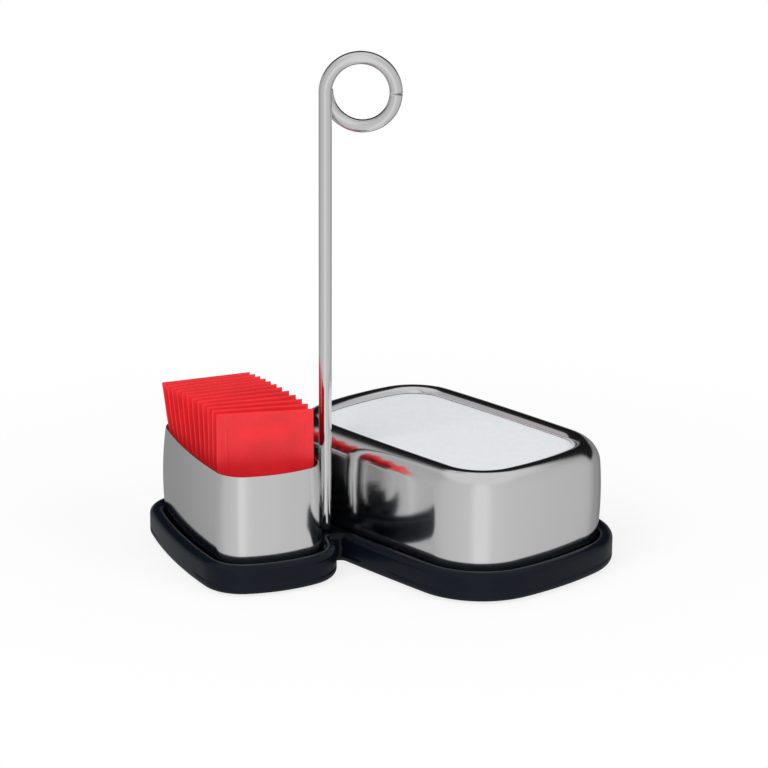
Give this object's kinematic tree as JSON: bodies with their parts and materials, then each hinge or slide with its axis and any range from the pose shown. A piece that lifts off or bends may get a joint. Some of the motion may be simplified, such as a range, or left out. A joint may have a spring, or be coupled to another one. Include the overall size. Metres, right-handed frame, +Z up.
{
  "type": "table caddy",
  "caption": "Table caddy with an open steel napkin box and a steel cup of paper sachets side by side on a black moulded tray, carried by a tall rod with a ring handle.",
  "frame": {"origin": "on the table, under the middle of the tray's plan", "axes": "+Z up along the rod, front towards -Y, the napkin box to +X of the cup"},
  "size_m": [0.2388, 0.1748, 0.2635],
  "materials": {
    "tray_plastic": "smooth blue-black moulding with a soft gloss",
    "foot_rubber": "matt black rubber",
    "polished_steel": "mirror-polished stainless steel",
    "fastener_steel": "plain steel",
    "napkin_paper": "white embossed tissue paper",
    "sachet_paper": "red coated paper with crimped edges"
  },
  "bodies": {
    "tray": {"base_tray": "tray_plastic", "tray_rim": "tray_plastic", "tray_feet": "foot_rubber", "handle_rod": "polished_steel", "handle_washer": "fastener_steel", "handle_nut": "fastener_steel"},
    "box": {"napkin_box": "polished_steel", "box_floor": "polished_steel", "napkin_pack": "napkin_paper", "napkin_1": "napkin_paper", "napkin_2": "napkin_paper", "napkin_3": "napkin_paper", "napkin_4": "napkin_paper"},
    "cup": {"sachet_cup": "polished_steel"},
    "sachet_01": {"sachet_01": "sachet_paper"},
    "sachet_02": {"sachet_02": "sachet_paper"},
    "sachet_03": {"sachet_03": "sachet_paper"},
    "sachet_04": {"sachet_04": "sachet_paper"},
    "sachet_05": {"sachet_05": "sachet_paper"},
    "sachet_06": {"sachet_06": "sachet_paper"},
    "sachet_07": {"sachet_07": "sachet_paper"},
    "sachet_08": {"sachet_08": "sachet_paper"},
    "sachet_09": {"sachet_09": "sachet_paper"},
    "sachet_10": {"sachet_10": "sachet_paper"},
    "sachet_11": {"sachet_11": "sachet_paper"},
    "sachet_12": {"sachet_12": "sachet_paper"}
  },
  "joints": [
    {"name": "box_lift", "type": "slide", "parent": "tray", "child": "box", "axis": [0, 0, 1], "range_m": [0, 0.1]},
    {"name": "cup_lift", "type": "slide", "parent": "tray", "child": "cup", "axis": [0, 0, 1], "range_m": [0, 0.1]},
    {"name": "sachet_01_pull", "type": "slide", "parent": "cup", "child": "sachet_01", "axis": [-0.0031, 0.0172, 0.9998], "range_m": [0, 0.09]},
    {"name": "sachet_02_pull", "type": "slide", "parent": "cup", "child": "sachet_02", "axis": [-0.0117, 0.0515, 0.9986], "range_m": [0, 0.09]},
    {"name": "sachet_03_pull", "type": "slide", "parent": "cup", "child": "sachet_03", "axis": [-0.0231, 0.085, 0.9961], "range_m": [0, 0.09]},
    {"name": "sachet_04_pull", "type": "slide", "parent": "cup", "child": "sachet_04", "axis": [-0.0373, 0.1175, 0.9924], "range_m": [0, 0.09]},
    {"name": "sachet_05_pull", "type": "slide", "parent": "cup", "child": "sachet_05", "axis": [-0.0542, 0.1488, 0.9874], "range_m": [0, 0.09]},
    {"name": "sachet_06_pull", "type": "slide", "parent": "cup", "child": "sachet_06", "axis": [-0.0736, 0.1786, 0.9812], "range_m": [0, 0.09]},
    {"name": "sachet_07_pull", "type": "slide", "parent": "cup", "child": "sachet_07", "axis": [-0.0868, 0.2106, 0.9737], "range_m": [0, 0.09]},
    {"name": "sachet_08_pull", "type": "slide", "parent": "cup", "child": "sachet_08", "axis": [-0.0999, 0.2423, 0.965], "range_m": [0, 0.09]},
    {"name": "sachet_09_pull", "type": "slide", "parent": "cup", "child": "sachet_09", "axis": [-0.1128, 0.2737, 0.9552], "range_m": [0, 0.09]},
    {"name": "sachet_10_pull", "type": "slide", "parent": "cup", "child": "sachet_10", "axis": [-0.1256, 0.3048, 0.9441], "range_m": [0, 0.09]},
    {"name": "sachet_11_pull", "type": "slide", "parent": "cup", "child": "sachet_11", "axis": [-0.1383, 0.3355, 0.9318], "range_m": [0, 0.09]},
    {"name": "sachet_12_pull", "type": "slide", "parent": "cup", "child": "sachet_12", "axis": [-0.1508, 0.3658, 0.9184], "range_m": [0, 0.09]}
  ]
}
